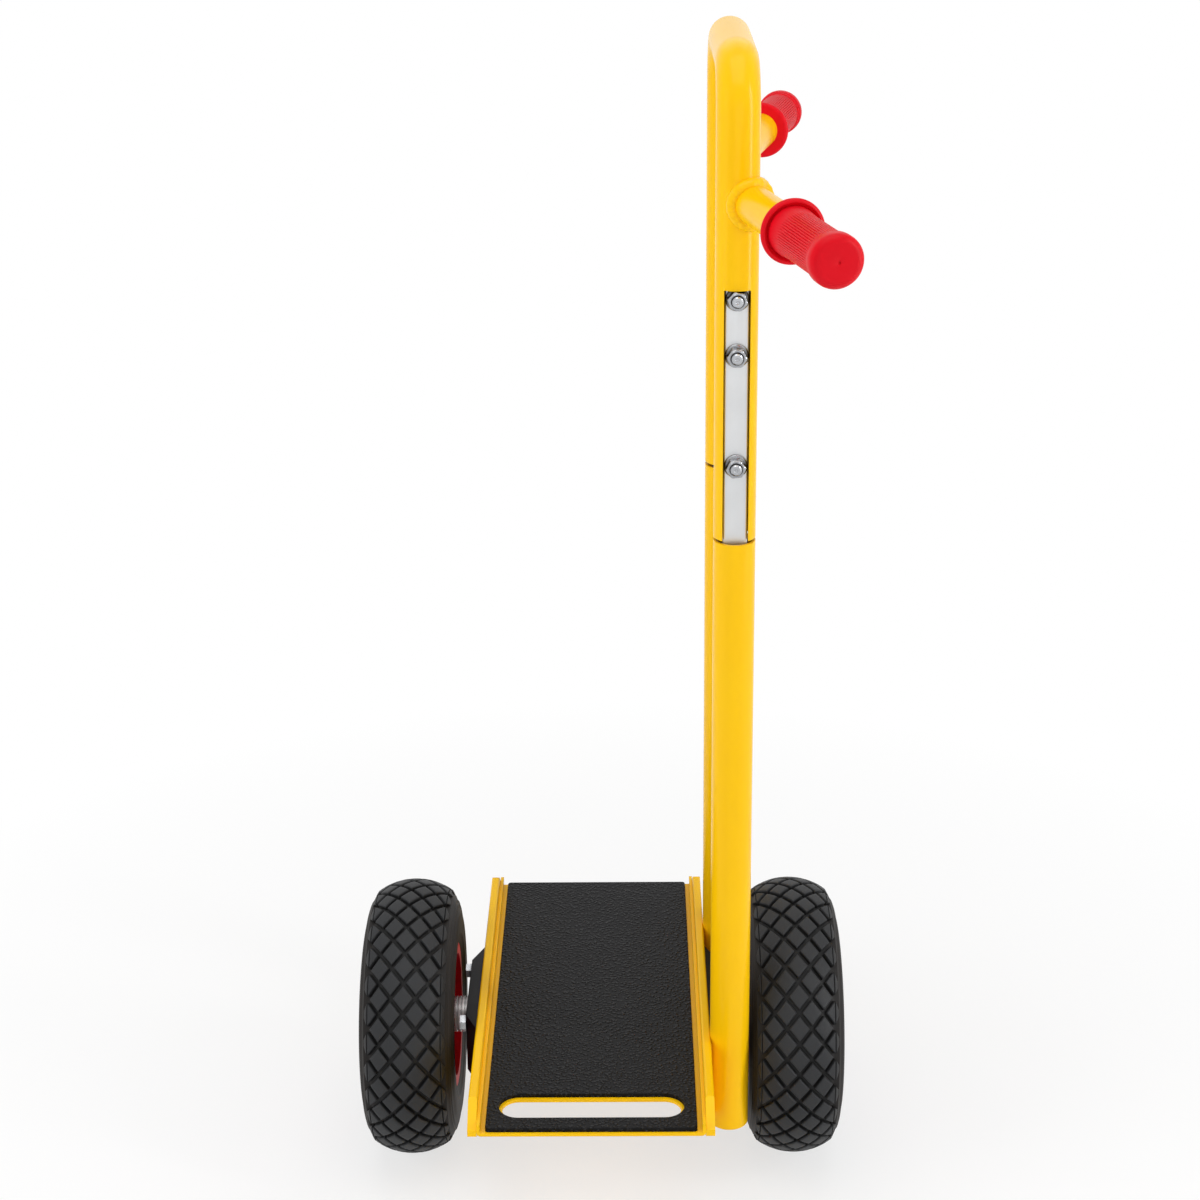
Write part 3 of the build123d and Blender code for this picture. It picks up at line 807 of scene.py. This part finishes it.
makeBarFasteners()
print("bar fasteners made")


# white surroundings, and a pale floor that keeps a soft shadow near the cart
stageSet = {"floor": (0.95, 0.95, 0.95), "shadow": 0.32, "near": 0.35, "far": 1.0, "size": 60.0,
            "drop": 0.0002, "sky": 0.30}


def seenDirectly(wire):
    # rays from the camera, and those that metal or glass send on
    rays = [wire.add("ShaderNodeLightPath", {}, {}, name)
            for name in ("Is Camera Ray", "Is Glossy Ray", "Is Transmission Ray")]
    return (rays[0] + rays[1] + rays[2]).clamped()


def makeFloor():
    half = stageSet["size"] / 2
    mesh = bpy.data.meshes.new("paleFloor")
    mesh.from_pydata([(-half, -half, 0), (half, -half, 0), (half, half, 0), (-half, half, 0)],
                     [], [(0, 1, 2, 3)])
    material, wire = startFinish("paleFloor")
    plain = wire.add("ShaderNodeBsdfDiffuse", {}, {"Color": (*stageSet["floor"], 1.0)})
    white = wire.add("ShaderNodeEmission", {}, {"Color": (1, 1, 1, 1), "Strength": 1.0})
    away = vectorMaths(wire, "LENGTH", (place(wire),), "Value")
    around = ((stageSet["far"] - away) / (stageSet["far"] - stageSet["near"])).clamped()
    share = seenDirectly(wire) * (1.0 - stageSet["shadow"] * around)
    mixed = wire.add("ShaderNodeMixShader", {}, {0: share, 1: plain, 2: white})
    wire.add("ShaderNodeOutputMaterial", {}, {"Surface": mixed})
    mesh.materials.append(material)
    floor = bpy.data.objects.new("paleFloor", mesh)
    bpy.context.scene.collection.objects.link(floor)
    floor.location.z = cadLow.z - stageSet["drop"]


def makeWorld():
    world = bpy.data.worlds.new("whiteRoom")
    world.use_nodes = True
    world.node_tree.nodes.clear()
    wire = Wire(world.node_tree)
    strength = stageSet["sky"] + seenDirectly(wire) * (1.0 - stageSet["sky"])
    light = wire.add("ShaderNodeBackground", {}, {"Color": (1, 1, 1, 1), "Strength": strength})
    wire.add("ShaderNodeOutputWorld", {}, {"Surface": light})
    bpy.context.scene.world = world


# a softbox on the left, a strip on the right, and broad boxes above, in front and behind;
# the left one stays out of reflections, where it would turn a face of the raised bars white
lampSet = {
    "leftBox": {"at": (-2.1, -0.9, 1.0), "aim": (0.0, 0.0, 0.5), "size": (1.2, 2.4), "watts": 32.0,
                "mirrored": False},
    "rightStrip": {"at": (2.1, -0.9, 1.0), "aim": (0.0, 0.0, 0.5), "size": (0.3, 2.4), "watts": 30.0,
                   "mirrored": True},
    "topBox": {"at": (0.0, -0.6, 3.1), "aim": (0.0, 0.0, 0.2), "size": (2.4, 2.2), "watts": 32.0,
               "mirrored": True},
    "frontBox": {"at": (0.2, -3.0, 1.1), "aim": (0.0, 0.0, 0.4), "size": (2.2, 1.8), "watts": 9.0,
                 "mirrored": True},
    "backBox": {"at": (0.0, 2.0, 2.7), "aim": (0.0, 0.0, 0.5), "size": (2.4, 1.6), "watts": 9.0,
                "mirrored": True},
}


def makeLamps():
    for name, lamp in lampSet.items():
        data = bpy.data.lights.new(name, "AREA")
        data.shape = "RECTANGLE"
        data.size, data.size_y = lamp["size"]
        data.energy = lamp["watts"]
        box = bpy.data.objects.new(name, data)
        bpy.context.scene.collection.objects.link(box)
        box.location = lamp["at"]
        box.visible_glossy = lamp["mirrored"]
        aim = Vector(lamp["aim"]) - Vector(lamp["at"])
        box.rotation_euler = aim.to_track_quat("-Z", "Y").to_euler()


# the photograph's place of view
cameraSet = {"at": (0.0280, -1.9051, 1.3430), "pitch": 19.520, "yaw": -0.745, "roll": 0.641,
             "focalPixels": 2263.7, "imagePixels": 1200.0, "sensor": 36.0, "shift": -0.09,
             "clip": (0.05, 60.0)}


def makeCamera():
    data = bpy.data.cameras.new("photoCamera")
    data.sensor_width = cameraSet["sensor"]
    data.lens = cameraSet["focalPixels"] * cameraSet["sensor"] / cameraSet["imagePixels"]
    data.shift_y = cameraSet["shift"]
    data.clip_start, data.clip_end = cameraSet["clip"]
    camera = bpy.data.objects.new("photoCamera", data)
    bpy.context.scene.collection.objects.link(camera)
    turn = Matrix.Rotation(math.radians(-cameraSet["yaw"]), 4, "Z")
    tip = Matrix.Rotation(math.radians(90.0 - cameraSet["pitch"]), 4, "X")
    lean = Matrix.Rotation(math.radians(-cameraSet["roll"]), 4, "Z")
    camera.matrix_world = Matrix.Translation(cameraSet["at"]) @ turn @ tip @ lean
    bpy.context.scene.camera = camera


makeFloor()
makeWorld()
makeLamps()
makeCamera()
bpy.context.scene.view_settings.view_transform = "Standard"
print("stage, lamps and camera set")
